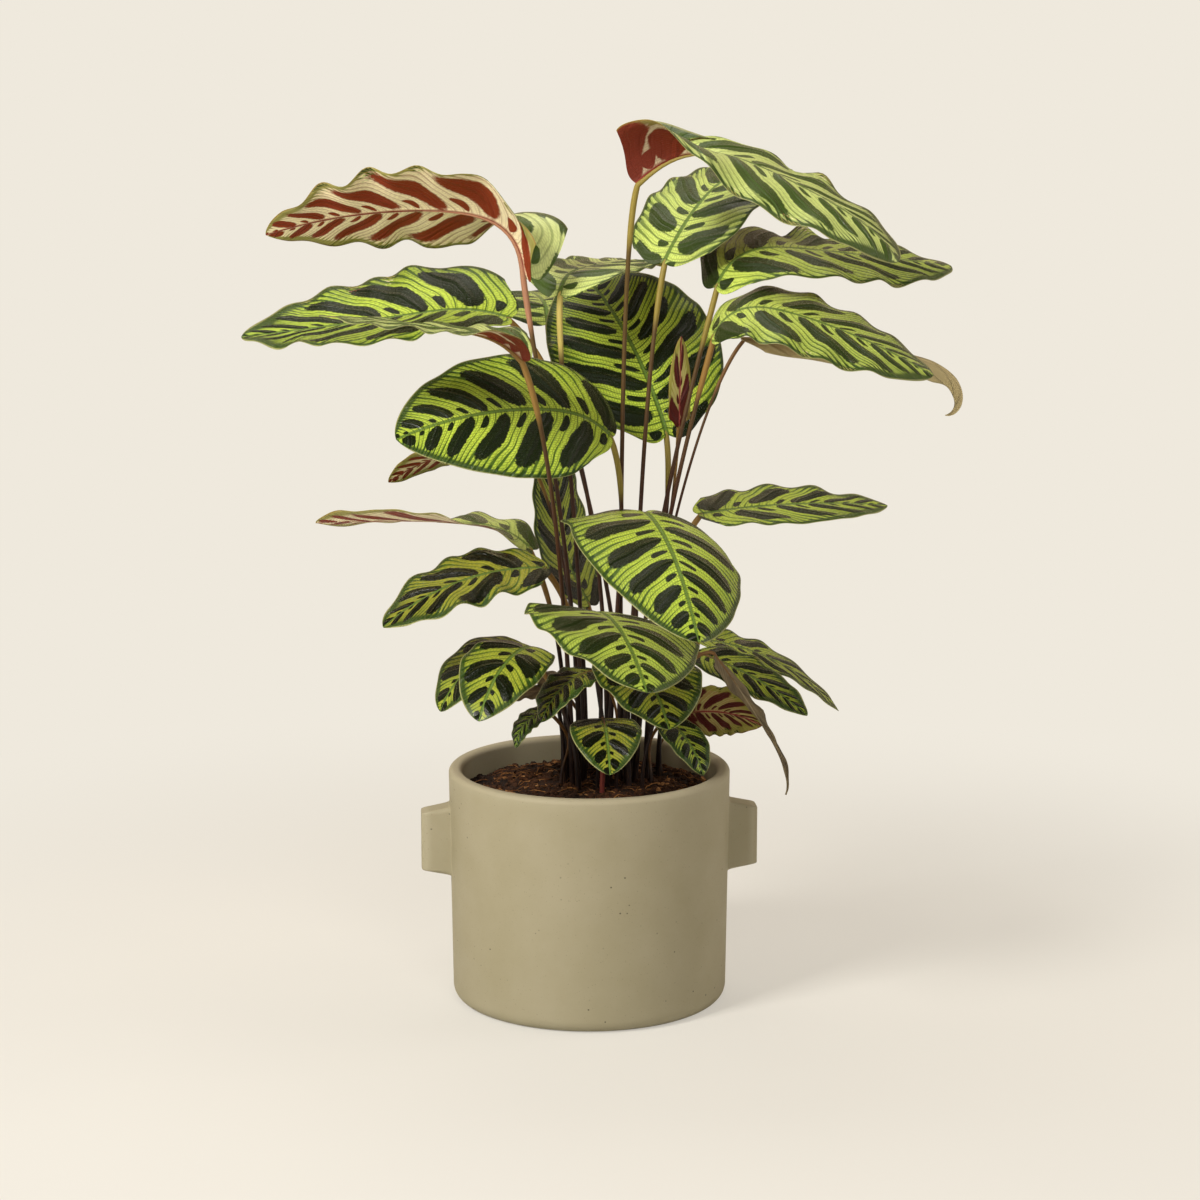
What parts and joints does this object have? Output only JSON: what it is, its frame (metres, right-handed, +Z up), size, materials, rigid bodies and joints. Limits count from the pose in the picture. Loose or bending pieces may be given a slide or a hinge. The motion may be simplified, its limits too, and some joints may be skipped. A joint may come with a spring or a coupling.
{
  "type": "potted plant",
  "caption": "Peacock plant with long-stalked patterned leaves rooted in soil, in a round pot with two side lugs.",
  "frame": {"origin": "centre of the pot's flat underside, on the surface the pot stands on", "axes": "+Z up, +X to the right along the two lugs (they are turned 4.5 degrees from it), +Y to the back"},
  "size_m": [0.5402, 0.4479, 0.659],
  "materials": {
    "pot": "matte",
    "soil": "matte",
    "leaf": "satin",
    "withered_leaf": "matte",
    "stalk": "satin",
    "shoot": "satin"
  },
  "bodies": {
    "root": {"leaf_back_center": "leaf", "leaf_back_left": "leaf", "leaf_back_outer": "leaf", "leaf_back_upright": "leaf", "leaf_dry_lower": "withered_leaf", "leaf_dry_ribbon": "withered_leaf", "leaf_dry_upper": "withered_leaf", "leaf_front_center": "leaf", "leaf_front_left": "leaf", "leaf_front_lower": "leaf", "leaf_front_skirt": "leaf", "leaf_furled": "leaf", "leaf_left_curled": "leaf", "leaf_left_edgewise": "leaf", "leaf_left_long": "leaf", "leaf_left_low": "leaf", "leaf_left_slim": "leaf", "leaf_left_upturned": "leaf", "leaf_pot_front": "leaf", "leaf_pot_left": "leaf", "leaf_pot_right": "leaf", "leaf_right_arching": "leaf", "leaf_right_inner": "leaf", "leaf_right_low": "leaf", "leaf_right_slim": "leaf", "leaf_right_upper": "leaf", "leaf_right_withered": "withered_leaf", "leaf_shaded_inner": "leaf", "leaf_side_front": "leaf", "leaf_side_left": "leaf", "leaf_top_arching": "leaf", "leaf_top_back": "leaf", "leaf_turned_right": "leaf", "new_shoot": "shoot", "pot": "pot", "soil": "soil", "stem_back_center": "stalk", "stem_back_left": "stalk", "stem_back_outer": "stalk", "stem_back_upright": "stalk", "stem_front_center": "stalk", "stem_front_left": "stalk", "stem_front_lower": "stalk", "stem_front_skirt": "stalk", "stem_furled": "stalk", "stem_left_curled": "stalk", "stem_left_edgewise": "stalk", "stem_left_long": "stalk", "stem_left_low": "stalk", "stem_left_slim": "stalk", "stem_left_upturned": "stalk", "stem_right_arching": "stalk", "stem_right_low": "stalk", "stem_right_slim": "stalk", "stem_right_upper": "stalk", "stem_right_withered": "stalk", "stem_side_front": "stalk", "stem_side_left": "stalk", "stem_top_arching": "stalk", "stem_top_back": "stalk"}
  },
  "joints": []
}
